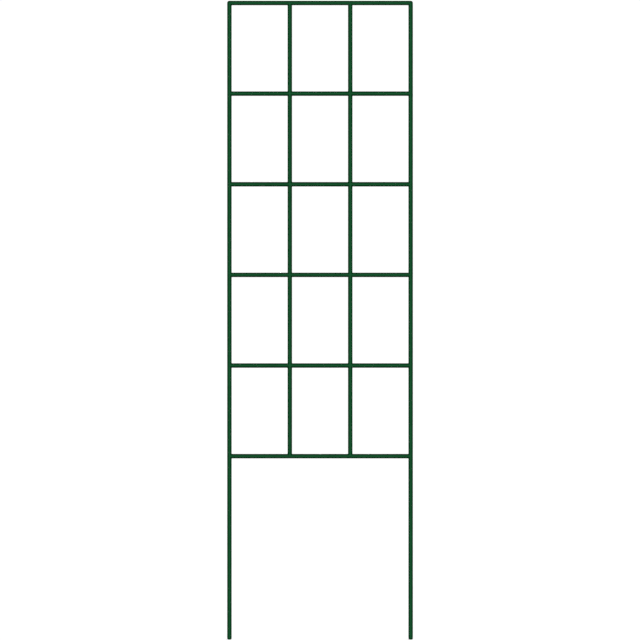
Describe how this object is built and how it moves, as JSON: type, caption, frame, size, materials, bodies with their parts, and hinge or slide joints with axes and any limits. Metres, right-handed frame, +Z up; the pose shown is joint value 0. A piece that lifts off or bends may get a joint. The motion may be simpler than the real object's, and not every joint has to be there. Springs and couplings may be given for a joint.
{
  "type": "espalier frame",
  "caption": "Flat garden trellis of green coated steel tube: a welded grid of uprights and rungs on two long legs that are pushed into the soil, for espalier and climbing plants.",
  "frame": {"origin": "midway between the two foot ends, on the centre plane of the frame, where the legs end", "axes": "+Z up along the uprights, +X to the right along the rungs seen from the front, +Y to the back"},
  "size_m": [0.615, 0.016, 2.1145],
  "materials": {
    "green_coat": "smooth satin moss green polymer coat on welded steel tube",
    "plug_plastic": "fine matte moulded dark green plastic"
  },
  "bodies": {
    "root": {"left_upright": "green_coat", "right_upright": "green_coat", "top_rail": "green_coat", "bottom_rail": "green_coat", "inner_upright_1": "green_coat", "inner_upright_2": "green_coat", "rung_1a": "green_coat", "rung_1b": "green_coat", "rung_1c": "green_coat", "rung_2a": "green_coat", "rung_2b": "green_coat", "rung_2c": "green_coat", "rung_3a": "green_coat", "rung_3b": "green_coat", "rung_3c": "green_coat", "rung_4a": "green_coat", "rung_4b": "green_coat", "rung_4c": "green_coat", "left_foot_plug": "plug_plastic", "right_foot_plug": "plug_plastic", "left_upright_welds": "green_coat", "right_upright_welds": "green_coat", "inner_upright_1_welds": "green_coat", "inner_upright_2_welds": "green_coat"}
  },
  "joints": []
}
